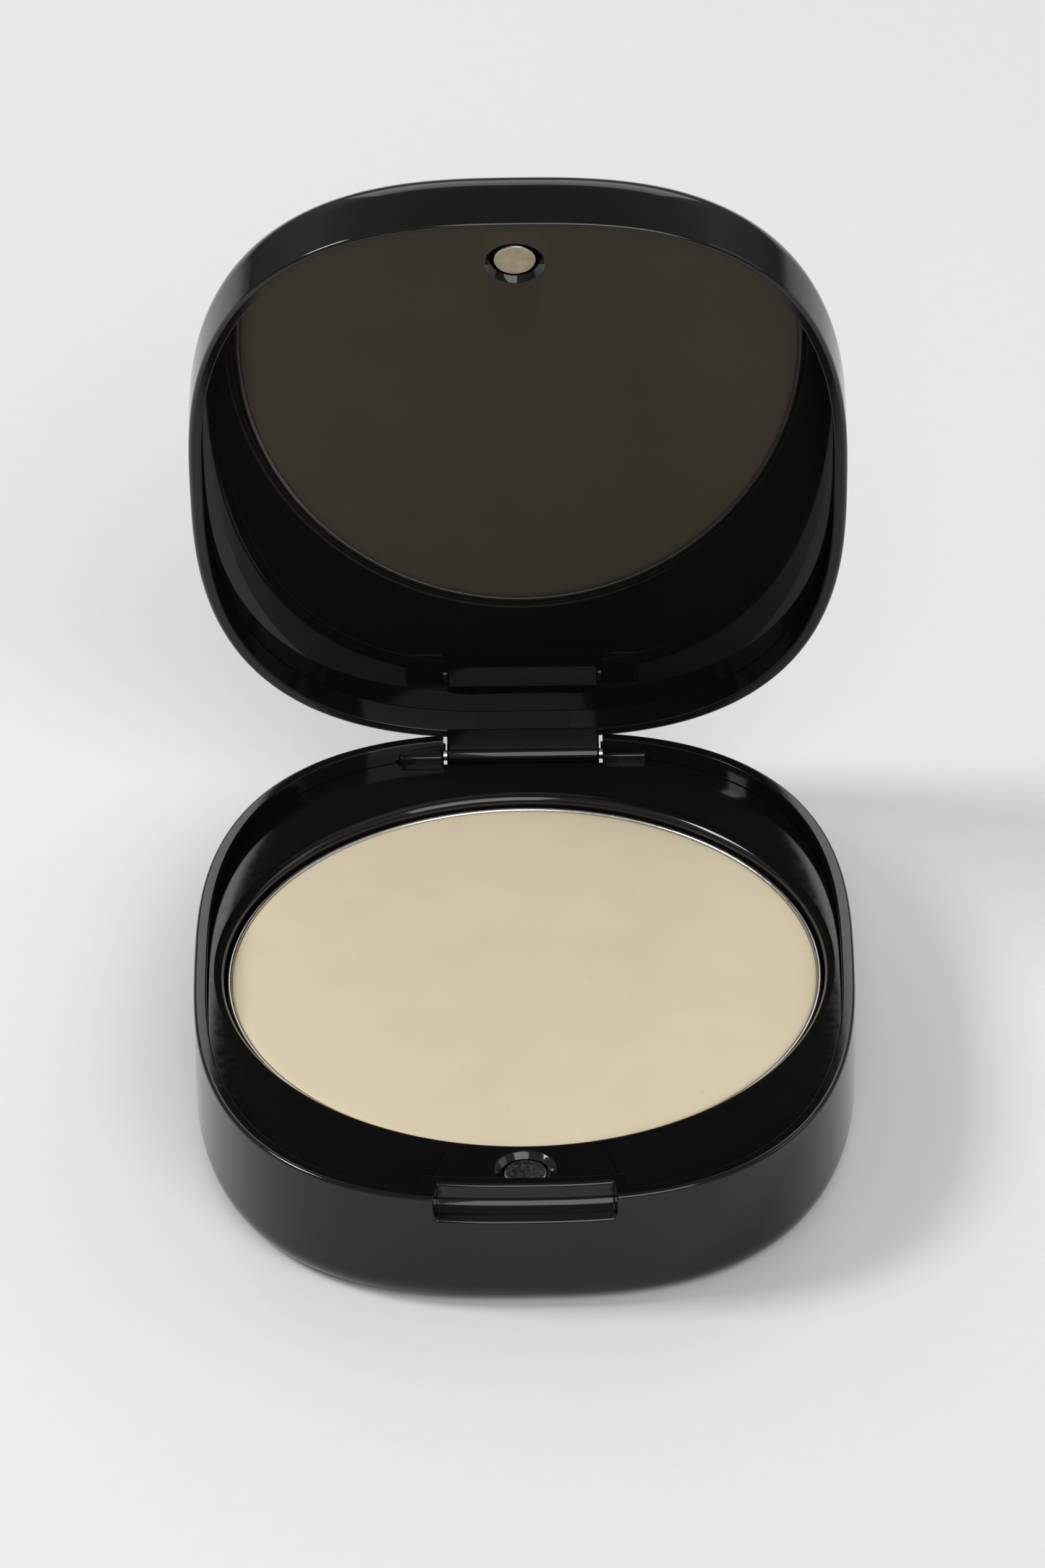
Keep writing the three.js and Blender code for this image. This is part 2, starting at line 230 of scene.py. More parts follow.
def block(name, x0, x1, y0, y1, z0, z1, edge=0.0):
    shell = bmesh.new()
    bmesh.ops.create_cube(shell, size=1.0)
    for vertex in shell.verts:
        vertex.co = Vector((x0 if vertex.co.x < 0 else x1, y0 if vertex.co.y < 0 else y1,
                            z0 if vertex.co.z < 0 else z1))
    if edge:
        bmesh.ops.bevel(shell, geom=shell.edges[:], offset=edge, segments=3, profile=0.5,
                        affect="EDGES")
    mesh = bpy.data.meshes.new(name)
    shell.to_mesh(mesh)
    shell.free()
    return new_object(name, mesh)


def combine(target, tool, operation):
    """Cuts or joins the target with the tool, and removes the tool."""
    modifier = target.modifiers.new("combine", "BOOLEAN")
    modifier.operation = operation
    modifier.solver = "EXACT"
    modifier.object = tool
    evaluated = target.evaluated_get(bpy.context.evaluated_depsgraph_get())
    mesh = bpy.data.meshes.new_from_object(evaluated)
    target.modifiers.clear()
    old = target.data
    target.data = mesh
    bpy.data.meshes.remove(old)
    bpy.data.objects.remove(tool)


def smooth(piece, sharp_degrees=38):
    mesh = piece.data
    mesh.polygons.foreach_set("use_smooth", [True] * len(mesh.polygons))
    mesh.set_sharp_from_angle(angle=math.radians(sharp_degrees))


# ---- the case outline ----

def outline_point(angle, inset):
    """A point on the outline, moved inwards square to it."""
    across = abs(math.cos(angle) / HALF_WIDTH) ** SQUARENESS
    along = abs(math.sin(angle) / HALF_DEPTH) ** SQUARENESS
    reach = (across + along) ** (-1 / SQUARENESS)
    x = reach * math.cos(angle)
    y = reach * math.sin(angle)
    normal = Vector((
        math.copysign(abs(x / HALF_WIDTH) ** (SQUARENESS - 1) / HALF_WIDTH, x),
        math.copysign(abs(y / HALF_DEPTH) ** (SQUARENESS - 1) / HALF_DEPTH, y),
    )).normalized()
    return Vector((x, y)) - inset * normal


def outline_angles():
    """Angles round the outline, with close steps where the notch ends."""
    near = NOTCH_HALF_WIDTH - 2 * NOTCH_CORNER
    far = NOTCH_HALF_WIDTH + WALL + 2 * NOTCH_CORNER
    extra = []
    for i in range(round((far - near) / NOTCH_STEP) + 1):
        x = near + i * NOTCH_STEP
        y = -HALF_DEPTH * (1 - (x / HALF_WIDTH) ** SQUARENESS) ** (1 / SQUARENESS)
        extra += [math.atan2(y, x), math.atan2(y, -x)]
    even = [2 * math.pi * i / COLUMNS - math.pi for i in range(COLUMNS)]
    for angle in even:
        point = outline_point(angle, 0)
        if point.y > 0 or not near - NOTCH_STEP < abs(point.x) < far + NOTCH_STEP:
            extra.append(angle)
    return sorted(extra)


ANGLES = outline_angles()


def notch_share(x, half_width):
    """1 inside the notch, 0 outside, with a rounded step between."""
    t = min(1.0, max(0.0, 0.5 + (half_width - abs(x)) / NOTCH_CORNER))
    return t * t * (3 - 2 * t)


def case_ring(inset, z, notch_inset=None, notch_z=None, notch_half_width=NOTCH_HALF_WIDTH):
    """One ring of the case at an inset and height. Inside the notch it goes to its own."""
    notch_inset = inset if notch_inset is None else notch_inset
    notch_z = z if notch_z is None else notch_z
    ring = []
    for angle in ANGLES:
        point = outline_point(angle, inset)
        share = notch_share(point.x, notch_half_width) if point.y < 0 else 0.0
        ring.append(Vector((point.x, point.y + share * (notch_inset - inset),
                            z + share * (notch_z - z))))
    return ring


def scaled_ring(ring, factor, middle_y=0.0):
    return [Vector((p.x * factor, middle_y + (p.y - middle_y) * factor, p.z)) for p in ring]


def rounded_foot(closed_z, direction):
    """Rings from near the middle of a closed face out to the start of the side wall."""
    edge = case_ring(EDGE_RADIUS + SUPPORT, closed_z)
    rings = [scaled_ring(edge, factor) for factor in (0.02, 0.5)]
    rings.append(edge)
    for along, up in arc((EDGE_RADIUS, EDGE_RADIUS), EDGE_RADIUS, 270, 180, 14):
        rings.append(case_ring(along, closed_z + direction * up))
    rings.append(case_ring(0, closed_z + direction * (EDGE_RADIUS + SUPPORT)))
    return rings


def hollow_floor(z, direction):
    """Rings down the inside wall's foot and over the inner floor to its middle."""
    fillet = 0.4 * MM
    rings = [case_ring(WALL, z + direction * (fillet + SUPPORT))]
    for along, up in arc((WALL + fillet, fillet), fillet, 180, 270, 5):
        rings.append(case_ring(along, z + direction * up))
    edge = case_ring(WALL + fillet + SUPPORT, z)
    rings.append(edge)
    rings += [scaled_ring(edge, factor) for factor in (0.5, 0.02)]
    return rings


# ---- base ----

def notch_profile():
    """Inset and height up the notch: its lip, the cove and the wall behind it."""
    lip_z = NOTCH_FLOOR - NOTCH_LIP
    points = [(0, lip_z - SUPPORT)]
    points += arc((NOTCH_LIP, lip_z), NOTCH_LIP, 180, 90, 7)
    cove_start = NOTCH_DEPTH - NOTCH_COVE
    points += arc((cove_start, NOTCH_FLOOR + NOTCH_COVE), NOTCH_COVE, -90, 0, 10)
    return points


def base_rings():
    rings = rounded_foot(0.0, 1)
    notch = notch_profile()
    low = NOTCH_FLOOR - NOTCH_LIP - SUPPORT
    high = PARTING_Z - RIM_ROUND - SUPPORT
    for i, (inset, z) in enumerate(notch):
        plain_z = low + (high - low) * i / (len(notch) - 1)
        rings.append(case_ring(0, plain_z, inset, z))
    for inset, up in arc((RIM_ROUND, -RIM_ROUND), RIM_ROUND, 180, 90, 8):
        rings.append(case_ring(inset, PARTING_Z + up, inset + NOTCH_DEPTH))
    rings.append(case_ring(RIM_ROUND + SUPPORT, PARTING_Z, RIM_ROUND + SUPPORT + NOTCH_DEPTH))
    behind = NOTCH_HALF_WIDTH + WALL
    inner = WALL - RIM_INNER_ROUND
    rings.append(case_ring(inner - SUPPORT, PARTING_Z, inner - SUPPORT + NOTCH_DEPTH,
                           notch_half_width=behind))
    for inset, up in arc((inner, -RIM_INNER_ROUND), RIM_INNER_ROUND, 90, 0, 5):
        rings.append(case_ring(inset, PARTING_Z + up, inset + NOTCH_DEPTH,
                               notch_half_width=behind))
    below_tray = NOTCH_FLOOR - 1.4 * MM
    for z in (PARTING_Z - 1 * MM, TRAY_Z, below_tray):
        rings.append(case_ring(WALL, z, WALL + NOTCH_DEPTH, notch_half_width=behind))
    rings.append(case_ring(WALL, below_tray - NOTCH_DEPTH))
    rings += hollow_floor(BASE_FLOOR, 1)
    return rings


def build_base_shell():
    shell = loft("base_moulding", base_rings())
    cheek_front = HINGE.y - CHEEK_REACH
    cheek_back = HALF_DEPTH - CHEEK_BACK_INSET
    slot_floor = HINGE.z - KNUCKLE_RADIUS - SLOT_CLEARANCE
    for side in (-1, 1):
        ends = sorted((side * SLOT_HALF_WIDTH, side * CHEEK_HALF_WIDTH))
        cheek = block("cheek", *ends, cheek_front, cheek_back, EDGE_RADIUS,
                      PARTING_Z - CHEEK_DROP, edge=CHEEK_EDGE)
        combine(shell, cheek, "UNION")
        ends = sorted((side * (SLOT_HALF_WIDTH - JOIN), side * BARREL_END))
        barrel = round_bar("barrel", BARREL_RADIUS, *ends, HINGE.y, HINGE.z,
                           edge=BARREL_EDGE)
        combine(shell, barrel, "UNION")
    sill = block("sill", -SLOT_HALF_WIDTH, SLOT_HALF_WIDTH, cheek_front,
                 HALF_DEPTH - SILL_BACK_INSET, EDGE_RADIUS, slot_floor)
    combine(shell, sill, "UNION")
    slot = block("slot", -SLOT_HALF_WIDTH, SLOT_HALF_WIDTH, HINGE.y - SLOT_REACH,
                 HINGE.y + SLOT_BACK_REACH, slot_floor, PARTING_Z + FAR)
    combine(shell, slot, "DIFFERENCE")
    opening = block("opening", -SLOT_BACK_HALF_WIDTH, SLOT_BACK_HALF_WIDTH, HINGE.y,
                    HALF_DEPTH + FAR, slot_floor, PARTING_Z + FAR)
    combine(shell, opening, "DIFFERENCE")
    bore_end = PIN_OUTER_END + BORE_END_GAP
    combine(shell, round_bar("bore", PIN_BORE, -bore_end, bore_end, HINGE.y, HINGE.z),
            "DIFFERENCE")
    radius = label_high.x + LABEL_GAP
    recess = turned("recess", [(0.1 * MM, -1 * MM), (radius, -1 * MM), (radius, LABEL_RECESS),
                               (0.1 * MM, LABEL_RECESS)], 0, LABEL_Y)
    combine(shell, recess, "DIFFERENCE")
    smooth(shell)
    return shell


def magnet_pocket(face_z, into, middle_y):
    """A cutter for a countersunk magnet pocket; into is the direction away from the face."""
    lip = 0.12 * MM
    above = face_z - into * JOIN
    floor_z = face_z + into * (MAGNET_RECESS + MAGNET_THICKNESS + POCKET_FLOOR_GAP)
    profile = [(AXIS, above), (COUNTERSINK_RADIUS + lip, above),
               (COUNTERSINK_RADIUS + lip, face_z),
               (COUNTERSINK_RADIUS + lip * 0.3, face_z + into * lip * 0.15),
               (COUNTERSINK_RADIUS - lip * 0.2, face_z + into * lip * 0.6),
               (POCKET_RADIUS + lip * 0.5, face_z + into * (COUNTERSINK_DEPTH - lip * 0.6)),
               (POCKET_RADIUS, face_z + into * COUNTERSINK_DEPTH),
               (POCKET_RADIUS, floor_z), (AXIS, floor_z)]
    return turned("pocket", profile, 0, middle_y, steps=96)


def tray_outline(inset, z):
    return case_ring(inset, z, inset + NOTCH_DEPTH,
                     notch_half_width=NOTCH_HALF_WIDTH + TRAY_INSET)


def well_ring(radius, z):
    """A ring of the round well, each point in line with its point on the outline."""
    centre = Vector((0, WELL_Y))
    ring = []
    for angle in ANGLES:
        direction = (outline_point(angle, 0) - centre).normalized()
        ring.append((centre + radius * direction).to_3d() + Vector((0, 0, z)))
    return ring


def build_tray():
    edge = 0.08 * MM
    cup_radius = WELL_RADIUS + WELL_WALL
    well_floor = TRAY_Z - WELL_DEPTH
    cup_bottom = well_floor - WELL_WALL
    plate_bottom = TRAY_Z - TRAY_THICKNESS
    rings = [well_ring(0.3 * MM, cup_bottom), well_ring(cup_radius - 0.5 * MM, cup_bottom),
             well_ring(cup_radius, cup_bottom + 0.5 * MM), well_ring(cup_radius, plate_bottom),
             tray_outline(TRAY_INSET, plate_bottom)]
    for inset, up in arc((TRAY_INSET + edge, -edge), edge, 180, 90, 4):
        rings.append(tray_outline(inset, TRAY_Z + up))
    rings.append(tray_outline(TRAY_INSET + edge + SUPPORT, TRAY_Z))
    mouth = WELL_RADIUS + WELL_EDGE
    rings.append(well_ring(mouth + SUPPORT, TRAY_Z))
    for radius, z in arc((mouth, TRAY_Z - WELL_EDGE), WELL_EDGE, 90, 180, 12):
        rings.append(well_ring(radius, z))
    fillet = 0.5 * MM
    for radius, z in arc((WELL_RADIUS - fillet, well_floor + fillet), fillet, 0, -90, 5):
        rings.append(well_ring(radius, z))
    rings.append(well_ring(0.3 * MM, well_floor))
    tray = loft("tray_moulding", rings)
    low = TRAY_Z - BOSS_DEPTH
    high = TRAY_Z - BOSS_OVERLAP
    boss = turned("boss", [(AXIS, low), (BOSS_RADIUS, low), (BOSS_RADIUS, high), (AXIS, high)],
                  0, MAGNET_Y, steps=96)
    combine(tray, boss, "UNION")
    combine(tray, magnet_pocket(TRAY_Z, -1, MAGNET_Y), "DIFFERENCE")
    gap = CHEEK_HALF_WIDTH + TRAY_CUT_GAP
    clearance = block("clearance", -gap, gap, HINGE.y - TRAY_CUT_REACH,
                      HALF_DEPTH + FAR, 0.0, PARTING_Z + FAR)
    combine(tray, clearance, "DIFFERENCE")
    smooth(tray)
    return tray


def build_pan():
    """A stamped sheet cup with a rolled rim."""
    sheet = 0.45 * MM
    top = pan_high.z
    bottom = pan_low.z
    corner = 0.9 * MM
    profile = [(0.2 * MM, bottom)]
    profile += arc((PAN_RADIUS - corner, bottom + corner), corner, -90, 0, 8)
    profile += arc((PAN_RADIUS - sheet / 2, top - sheet / 2), sheet / 2, 0, 180, 10)
    profile += arc((PAN_RADIUS - corner, bottom + corner), corner - sheet, 0, -90, 8)
    profile.append((0.2 * MM, bottom + sheet))
    pan = turned("pan_cup", profile, 0, WELL_Y, steps=256)
    smooth(pan)
    return pan


def build_powder():
    """The pressed cake: nearly flat, a little lower at its crumbled edge."""
    radius = powder_high.x
    top = powder_high.z
    bottom = powder_low.z + 0.5 * MM
    profile = [(0.2 * MM, bottom), (radius - 0.9 * MM, bottom), (radius, bottom + 0.9 * MM),
               (radius, top - 0.30 * MM), (radius - 0.05 * MM, top - 0.20 * MM),
               (radius - 0.14 * MM, top - 0.12 * MM), (radius - 0.30 * MM, top - 0.07 * MM),
               (radius - 0.60 * MM, top - 0.04 * MM), (radius - 1.2 * MM, top - 0.02 * MM)]
    profile += [(radius * share, top - 0.02 * MM * share ** 4) for share in
                [i / 10 for i in range(9, 0, -1)] + [0.02]]
    cake = turned("powder_cake", profile, 0, WELL_Y, steps=256)
    smooth(cake)
    return cake


def build_magnet(name, face_z, into, middle_y):
    edge = 0.22 * MM
    back_z = face_z + into * MAGNET_THICKNESS
    profile = [(AXIS, face_z), (MAGNET_RADIUS - edge - SUPPORT, face_z)]
    for radius, up in arc((MAGNET_RADIUS - edge, edge), edge, -90, 0, 6):
        profile.append((radius, face_z + into * up))
    profile += [(MAGNET_RADIUS, back_z), (AXIS, back_z)]
    magnet = turned(name, profile, 0, middle_y, steps=96)
    smooth(magnet)
    return magnet


def build_label():
    radius = label_high.x
    edge = 0.05 * MM
    top = label_high.z
    bottom = label_low.z
    label = turned("blank_label", [(0.1 * MM, bottom), (radius - edge, bottom),
                                   (radius, bottom + edge), (radius, top), (0.1 * MM, top)],
                   0, LABEL_Y)
    smooth(label)
    return label


def build_pins():
    pins = []
    for name, side in (("pin_wire_left", -1), ("pin_wire_right", 1)):
        ends = sorted((side * PIN_INNER_END, side * PIN_OUTER_END))
        pin = round_bar(name, PIN_RADIUS, *ends, HINGE.y, HINGE.z, edge=PIN_EDGE)
        smooth(pin)
        pins.append(pin)
    return pins


# ---- lid, built closed and then turned open about the hinge ----

def opened(piece):
    piece.data.transform(LID_OPEN)
    piece.data.update()
    return piece


def lug_block():
    """The hinge lug: flat sides, rounded round the pin, every edge eased. Its front steps
    back at the parting plane, and above that it is nearly level with the wall."""
    outline = arc((HINGE.y, HINGE.z), KNUCKLE_RADIUS, 180, 360, 20)
    front = HINGE.y - KNUCKLE_RADIUS
    step = PARTING_Z
    outline += [(HINGE.y + KNUCKLE_RADIUS, LUG_SHOULDER),
                (HINGE.y + LUG_THICKNESS_BEHIND, LUG_TOP), (front + LUG_STEP, LUG_TOP),
                (front + LUG_STEP, step + 0.14 * MM), (front + 0.50 * MM, step + 0.04 * MM),
                (front + 0.12 * MM, step), (front + 0.03 * MM, step - 0.06 * MM),
                (front, step - 0.2 * MM)]
    steps = 4
    centre = Vector((sum(p[0] for p in outline), sum(p[1] for p in outline))) / len(outline)
    rings = []
    for side in (-1, 1):
        turn = range(steps + 1) if side < 0 else range(steps, -1, -1)
        for i in turn:
            angle = math.pi / 2 * i / steps
            shrink = LUG_EASE * (1 - math.sin(angle))
            x = side * (KNUCKLE_HALF_WIDTH - LUG_EASE * (1 - math.cos(angle)))
            ring = []
            for y, z in outline:
                inward = centre - Vector((y, z))
                moved = Vector((y, z)) + inward.normalized() * shrink
                ring.append(Vector((x, moved.x, moved.y)))
            rings.append(ring)
    return loft("lug", rings)


def build_lid_shell():
    top = PARTING_Z + LID_HEIGHT
    rim_z = PARTING_Z + RIM_GAP
    rings = rounded_foot(top, -1)
    for inset, down in arc((RIM_ROUND, RIM_ROUND), RIM_ROUND, 180, 270, 8):
        rings.append(case_ring(inset, rim_z + down))
    inner = WALL - RIM_INNER_ROUND
    rings.append(case_ring(RIM_ROUND + SUPPORT, rim_z))
    rings.append(case_ring(inner - SUPPORT, rim_z))
    for inset, down in arc((inner, RIM_INNER_ROUND), RIM_INNER_ROUND, 270, 360, 5):
        rings.append(case_ring(inset, rim_z + down))
    rings += hollow_floor(top - LID_CEILING, -1)
    shell = loft("lid_moulding", rings)
    combine(shell, lug_block(), "UNION")
    for side in (-1, 1):
        ends = sorted((side * (PIN_INNER_END - BORE_BLIND_GAP),
                       side * (KNUCKLE_HALF_WIDTH + JOIN)))
        combine(shell, round_bar("bore", PIN_BORE, *ends, HINGE.y, HINGE.z), "DIFFERENCE")
    smooth(shell)
    return opened(shell)


def build_panel():
    edge = 0.05 * MM
    back = PANEL_Z + PANEL_THICKNESS
    rings = []
    face = case_ring(PANEL_INSET + edge + SUPPORT, PANEL_Z)
    rings += [scaled_ring(face, factor) for factor in (0.02, 0.5)]
    rings.append(face)
    for inset, up in arc((PANEL_INSET + edge, edge), edge, 270, 180, 4):
        rings.append(case_ring(inset, PANEL_Z + up))
    rim = case_ring(PANEL_INSET, back)
    rings.append(rim)
    rings += [scaled_ring(rim, factor) for factor in (0.5, 0.02)]
    panel = loft("gloss_panel", rings)
    combine(panel, magnet_pocket(PANEL_Z, 1, LID_MAGNET_Y), "DIFFERENCE")
    gap = KNUCKLE_HALF_WIDTH + PANEL_CUT_GAP
    clearance = block("clearance", -gap, gap, HINGE.y - PANEL_CUT_REACH,
                      HALF_DEPTH + FAR, 0.0, PARTING_Z + FAR)
    combine(panel, clearance, "DIFFERENCE")
    smooth(panel)
    return opened(panel)


# ---- materials ----

def new_material(name):
    material = bpy.data.materials.new(name)
    material.use_nodes = True
    return material, material.node_tree.nodes, material.node_tree.links


def noise(material, scale_mm, detail=3.0, roughness=0.5):
    """A noise pattern fixed to the piece; scale_mm is the size of its spots."""
    nodes = material.node_tree.nodes
    links = material.node_tree.links
    place = nodes.new("ShaderNodeTexCoord")
    texture = nodes.new("ShaderNodeTexNoise")
    texture.inputs["Scale"].default_value = 1 / (scale_mm * MM)
    texture.inputs["Detail"].default_value = detail
    texture.inputs["Roughness"].default_value = roughness
    links.new(place.outputs["Object"], texture.inputs["Vector"])
    return texture.outputs["Fac"]


def remap(material, value, low, high, start=0.3, end=0.7):
    node = material.node_tree.nodes.new("ShaderNodeMapRange")
    node.inputs["From Min"].default_value = start
    node.inputs["From Max"].default_value = end
    node.inputs["To Min"].default_value = low
    node.inputs["To Max"].default_value = high
    material.node_tree.links.new(value, node.inputs["Value"])
    return node.outputs["Result"]


def blend(material, share, first, second):
    """A colour between two; each may be a colour or another node's output."""
    node = material.node_tree.nodes.new("ShaderNodeMix")
    node.data_type = "RGBA"
    material.node_tree.links.new(share, node.inputs["Factor"])
    for socket, colour in ((node.inputs[6], first), (node.inputs[7], second)):
        if isinstance(colour, bpy.types.NodeSocket):
            material.node_tree.links.new(colour, socket)
        else:
            socket.default_value = (*colour, 1)
    return node.outputs[2]


def bump(material, height, distance_mm, strength=1.0, under=None):
    node = material.node_tree.nodes.new("ShaderNodeBump")
    node.inputs["Distance"].default_value = distance_mm * MM
    node.inputs["Strength"].default_value = strength
    material.node_tree.links.new(height, node.inputs["Height"])
    if under is not None:
        material.node_tree.links.new(under, node.inputs["Normal"])
    return node.outputs["Normal"]


def gloss_plastic(name, colour, rough, rough_spread, ior=1.5, waviness=0.0015):
    """Injection-moulded gloss black: a faint flow unevenness and fine polish marks."""
    material, nodes, links = new_material(name)
    shader = nodes["Principled BSDF"]
    shader.inputs["IOR"].default_value = ior
    tint = blend(material, noise(material, 6.0), colour, tuple(c * 1.35 for c in colour))
    links.new(tint, shader.inputs["Base Color"])
    polish = remap(material, noise(material, 0.9, 4.0), rough, rough + rough_spread)
    links.new(polish, shader.inputs["Roughness"])
    flow = bump(material, noise(material, 4.0, 1.0), waviness)
    fine = bump(material, noise(material, 0.12, 2.0), waviness * 0.12, under=flow)
    links.new(fine, shader.inputs["Normal"])
    return material


def powder_material():
    """Pressed powder: fine grain, soft cloudy colour and a few darker specks."""
    material, nodes, links = new_material("pressed_powder_finish")
    shader = nodes["Principled BSDF"]
    shader.inputs["IOR"].default_value = 1.45
    shader.inputs["Specular IOR Level"].default_value = 0.25
    shader.inputs["Sheen Weight"].default_value = 0.08
    shader.inputs["Sheen Roughness"].default_value = 0.6
    clouds = remap(material, noise(material, 9.0, 2.0), 0, 1)
    tint = blend(material, clouds, (0.755, 0.648, 0.462), (0.800, 0.688, 0.492))
    grain = remap(material, noise(material, 0.16, 3.0, 0.6), 0, 0.35)
    tint = blend(material, grain, tint, (0.690, 0.590, 0.415))
    specks = remap(material, noise(material, 0.45, 1.0), 0, 0.5, 0.70, 0.80)
    tint = blend(material, specks, tint, (0.600, 0.490, 0.320))
    links.new(tint, shader.inputs["Base Color"])
    links.new(remap(material, noise(material, 0.3), 0.82, 0.95), shader.inputs["Roughness"])
    pressed = bump(material, noise(material, 2.6, 2.0), 0.012)
    grainy = bump(material, noise(material, 0.14, 4.0, 0.65), 0.010, under=pressed)
    links.new(grainy, shader.inputs["Normal"])
    return material


def metal(name, colour, second, rough_low, rough_high, mottle_mm, bump_mm):
    material, nodes, links = new_material(name)
    shader = nodes["Principled BSDF"]
    shader.inputs["Metallic"].default_value = 1.0
    patches = remap(material, noise(material, mottle_mm, 3.0), 0, 1)
    links.new(blend(material, patches, colour, second), shader.inputs["Base Color"])
    links.new(remap(material, noise(material, mottle_mm * 0.4), rough_low, rough_high),
              shader.inputs["Roughness"])
    links.new(bump(material, noise(material, mottle_mm * 0.5, 4.0), bump_mm),
              shader.inputs["Normal"])
    return material


def matt(name, colour, second, rough, grain_mm, bump_mm):
    material, nodes, links = new_material(name)
    shader = nodes["Principled BSDF"]
    grain = remap(material, noise(material, grain_mm, 4.0), 0, 1)
    links.new(blend(material, grain, colour, second), shader.inputs["Base Color"])
    links.new(remap(material, grain, rough, rough + 0.08, 0, 1), shader.inputs["Roughness"])
    links.new(bump(material, noise(material, grain_mm, 4.0), bump_mm), shader.inputs["Normal"])
    return material


def finish_piece(piece, material, body, slot, *nodes):
    piece.data.materials.clear()
    piece.data.materials.append(material)
    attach(piece, body)
    if nodes:
        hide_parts(*nodes)


def assign_to_node(name, material):
    """A hidden inner part keeps its CAD mesh and takes a better finish."""
    node = frame["nodes"][name]
    node.data.materials.clear()
    node.data.materials.append(material)


# ---- the object ----

def build_object():
    case_black = gloss_plastic("case_gloss", (0.0040, 0.0038, 0.0038), 0.06, 0.05,
                               ior=1.45)
    tray_black = gloss_plastic("tray_gloss", (0.0045, 0.0042, 0.0040), 0.07, 0.05)
    panel_black = gloss_plastic("panel_gloss", (0.0040, 0.0038, 0.0036), 0.015, 0.02,
                                ior=1.47, waviness=0.0002)
    pan_metal = metal("pan_aluminium", (0.78, 0.77, 0.74), (0.70, 0.69, 0.66), 0.25, 0.4, 1.5,
                      0.002)
    plating = metal("magnet_nickel", (0.50, 0.48, 0.44), (0.38, 0.36, 0.32), 0.18, 0.42, 1.1,
                    0.012)
    wire = metal("hinge_wire", (0.92, 0.92, 0.90), (0.86, 0.86, 0.84), 0.3, 0.42, 0.4, 0.002)
    sheet_steel = metal("plate_zinc", (0.55, 0.55, 0.56), (0.42, 0.43, 0.45), 0.3, 0.5, 3.0,
                        0.01)
    label_film = matt("label_film", (0.58, 0.57, 0.55), (0.62, 0.61, 0.59), 0.42, 0.5, 0.004)
    adhesive = matt("adhesive_film", (0.78, 0.76, 0.68), (0.84, 0.82, 0.74), 0.7, 0.4, 0.01)
    foam = matt("foam_tape_finish", (0.020, 0.020, 0.020), (0.045, 0.045, 0.045), 0.86, 0.25,
                0.05)

    finish_piece(build_base_shell(), case_black, "base", "case_black", "base_shell")
    finish_piece(build_tray(), tray_black, "base", "tray_black", "base_tray")
    finish_piece(build_pan(), pan_metal, "base", "pan_metal", "powder_pan")
    finish_piece(build_powder(), powder_material(), "base", "powder", "pressed_powder")
    finish_piece(build_magnet("base_catch_magnet", base_magnet_high.z, -1, MAGNET_Y), plating,
                 "base", "magnet_plating", "base_magnet")
    finish_piece(build_label(), label_film, "base", "label", "underside_label")
    for pin, node in zip(build_pins(), ("hinge_pin_left", "hinge_pin_right")):
        finish_piece(pin, wire, "base", "pin_steel", node)
    finish_piece(build_lid_shell(), case_black, "lid", "case_black", "lid_shell")
    finish_piece(build_panel(), panel_black, "lid", "panel_black", "lid_inner_panel")
    lid_magnet = opened(build_magnet("lid_catch_magnet", PANEL_Z + MAGNET_RECESS, 1,
                                     LID_MAGNET_Y))
    finish_piece(lid_magnet, plating, "lid", "magnet_plating", "lid_magnet")
    assign_to_node("weight_plate", sheet_steel)
    assign_to_node("pan_adhesive_pad", adhesive)
    assign_to_node("lid_panel_tape", foam)


# ---- camera, floor and light ----

VIEW_ELEVATION = math.radians(34.2)
VIEW_YAW = math.radians(-0.32)
VIEW_ROLL = math.radians(0.88)
VIEW_DISTANCE = 1.113
VIEW_RISE = 17.3 * MM          # middle of the picture above the middle of the base rim
VIEW_SHIFT = 0.11 * MM
PICTURE_WIDTH = 103.5 * MM     # across the picture, at the object
SENSOR = 36.0


def build_camera():
    across = Vector((math.cos(VIEW_YAW), -math.sin(VIEW_YAW), 0))
    north = Vector((math.sin(VIEW_YAW), math.cos(VIEW_YAW), 0))
    up = north * math.sin(VIEW_ELEVATION) + Vector((0, 0, math.cos(VIEW_ELEVATION)))
    back = -north * math.cos(VIEW_ELEVATION) + Vector((0, 0, math.sin(VIEW_ELEVATION)))
    target = Vector((0, 0, PARTING_Z)) + VIEW_SHIFT * across + VIEW_RISE * up
    data = bpy.data.cameras.new("view")
    data.sensor_width = SENSOR
    data.sensor_fit = "HORIZONTAL"
    data.lens = SENSOR * VIEW_DISTANCE / PICTURE_WIDTH
    data.clip_end = 20
    camera = bpy.data.objects.new("view", data)
    rolled_across = across * math.cos(VIEW_ROLL) - up * math.sin(VIEW_ROLL)
    rolled_up = across * math.sin(VIEW_ROLL) + up * math.cos(VIEW_ROLL)
    rotation = Matrix((rolled_across, rolled_up, back)).transposed()
    camera.matrix_world = Matrix.Translation(target + VIEW_DISTANCE * back) @ rotation.to_4x4()
    bpy.context.scene.collection.objects.link(camera)
    bpy.context.scene.camera = camera


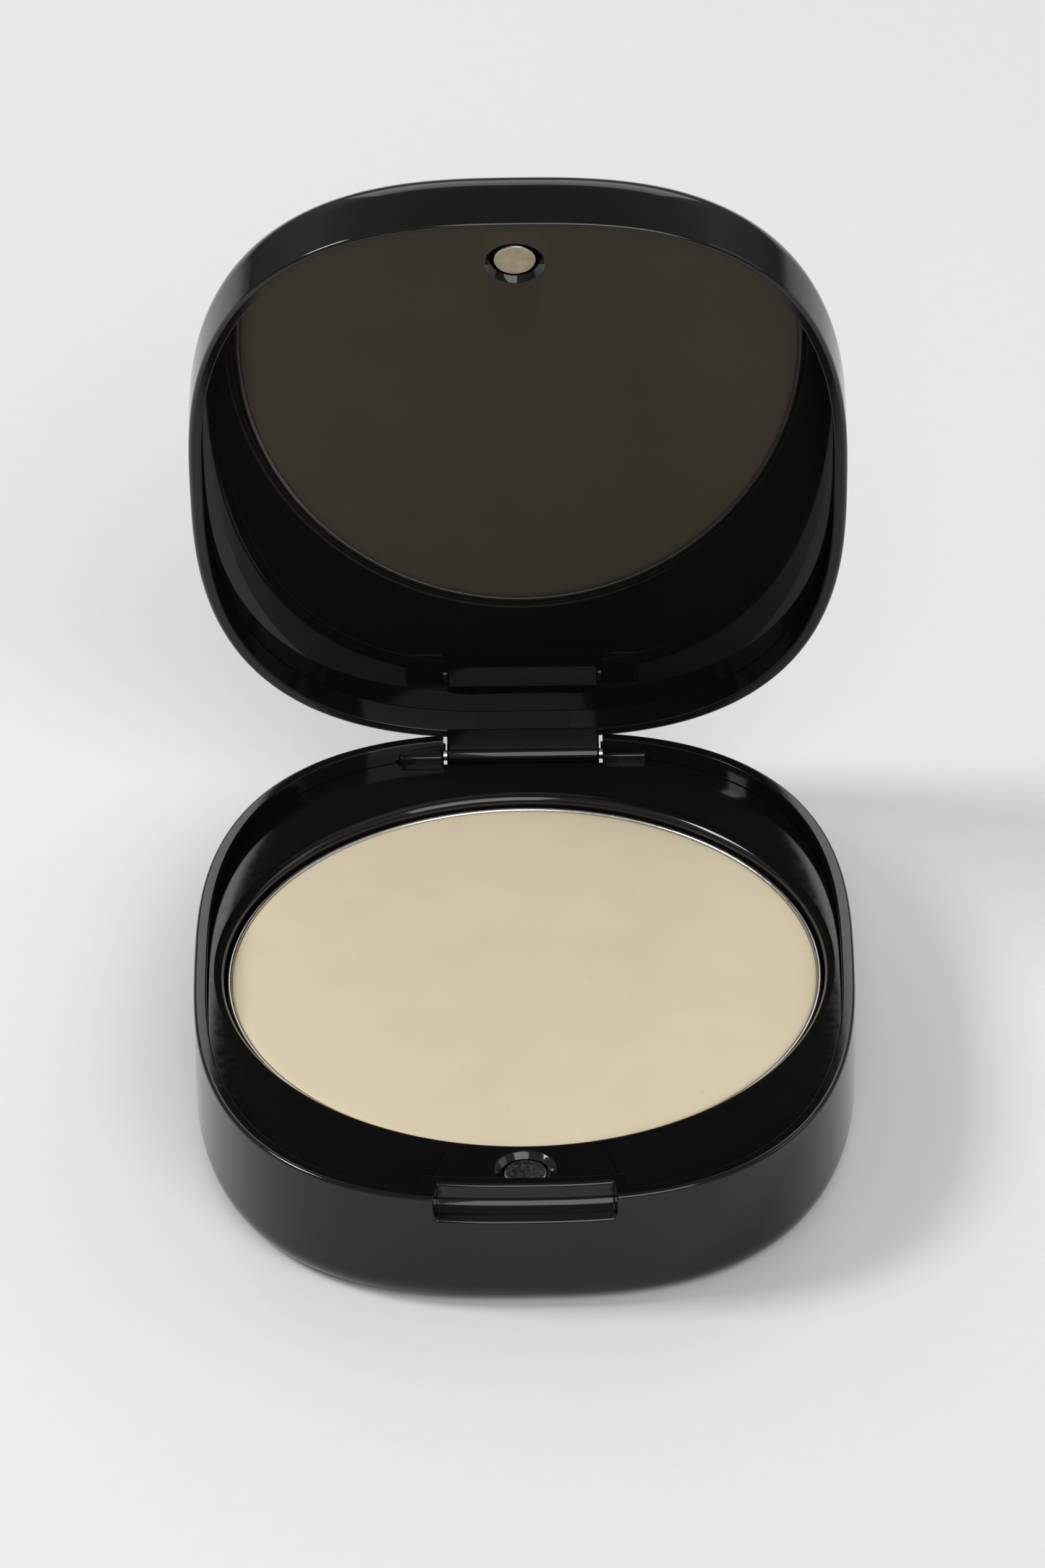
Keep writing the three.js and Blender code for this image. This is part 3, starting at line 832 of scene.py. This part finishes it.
def build_floor():
    reach = 6.0
    height = -0.05 * MM
    corners = [(-reach, -reach, height), (reach, -reach, height), (reach, reach, height),
               (-reach, reach, height)]
    mesh = bpy.data.meshes.new("floor")
    mesh.from_pydata(corners, [], [(0, 1, 2, 3)])
    floor = new_object("floor", mesh)
    floor.data.materials.append(matt("pale_floor", (0.835, 0.832, 0.820), (0.845, 0.842, 0.830),
                                     0.7, 2.0, 0.004))


def softbox(name, place, aim, width, height, radiance, colour=(1, 1, 1)):
    data = bpy.data.lights.new(name, "AREA")
    data.shape = "RECTANGLE"
    data.size = width
    data.size_y = height
    data.energy = radiance * math.pi * width * height
    data.color = colour
    light = bpy.data.objects.new(name, data)
    light.location = place
    light.rotation_euler = (Vector(aim) - Vector(place)).to_track_quat("-Z", "Y").to_euler()
    light.visible_camera = False
    bpy.context.scene.collection.objects.link(light)


def build_world():
    """A dim studio room: dark at eye level and overhead, paler between."""
    world = bpy.data.worlds.new("studio")
    world.use_nodes = True
    nodes = world.node_tree.nodes
    links = world.node_tree.links
    place = nodes.new("ShaderNodeTexCoord")
    split = nodes.new("ShaderNodeSeparateXYZ")
    ramp = nodes.new("ShaderNodeValToRGB")
    ramp.color_ramp.elements[0].position = 0.0
    ramp.color_ramp.elements[0].color = (0.12, 0.12, 0.12, 1)
    ramp.color_ramp.elements[1].position = 1.0
    ramp.color_ramp.elements[1].color = (0.16, 0.158, 0.156, 1)
    middle = ramp.color_ramp.elements.new(0.55)
    middle.color = (0.42, 0.415, 0.41, 1)
    links.new(place.outputs["Generated"], split.inputs["Vector"])
    links.new(split.outputs["Z"], ramp.inputs["Fac"])
    links.new(ramp.outputs["Color"], nodes["Background"].inputs["Color"])
    bpy.context.scene.world = world


def build_lights():
    build_world()
    softbox("left_box", (-0.62, -0.02, 0.60), (0, 0, 0.02), 0.26, 0.26, 16.0)
    softbox("back_box", (0.05, 1.00, 0.80), (0, 0, 0.05), 1.1, 0.7, 1.45)
    softbox("front_fill", (0.35, -1.10, 0.95), (0, 0, 0.05), 1.2, 0.9, 3.4)
    softbox("right_fill", (1.10, 0.20, 0.60), (0, 0, 0.05), 0.6, 0.6, 0.8)
    view = bpy.context.scene.view_settings
    view.view_transform = "Standard"
    view.look = "None"


build_camera()
build_floor()
build_lights()
build_object()
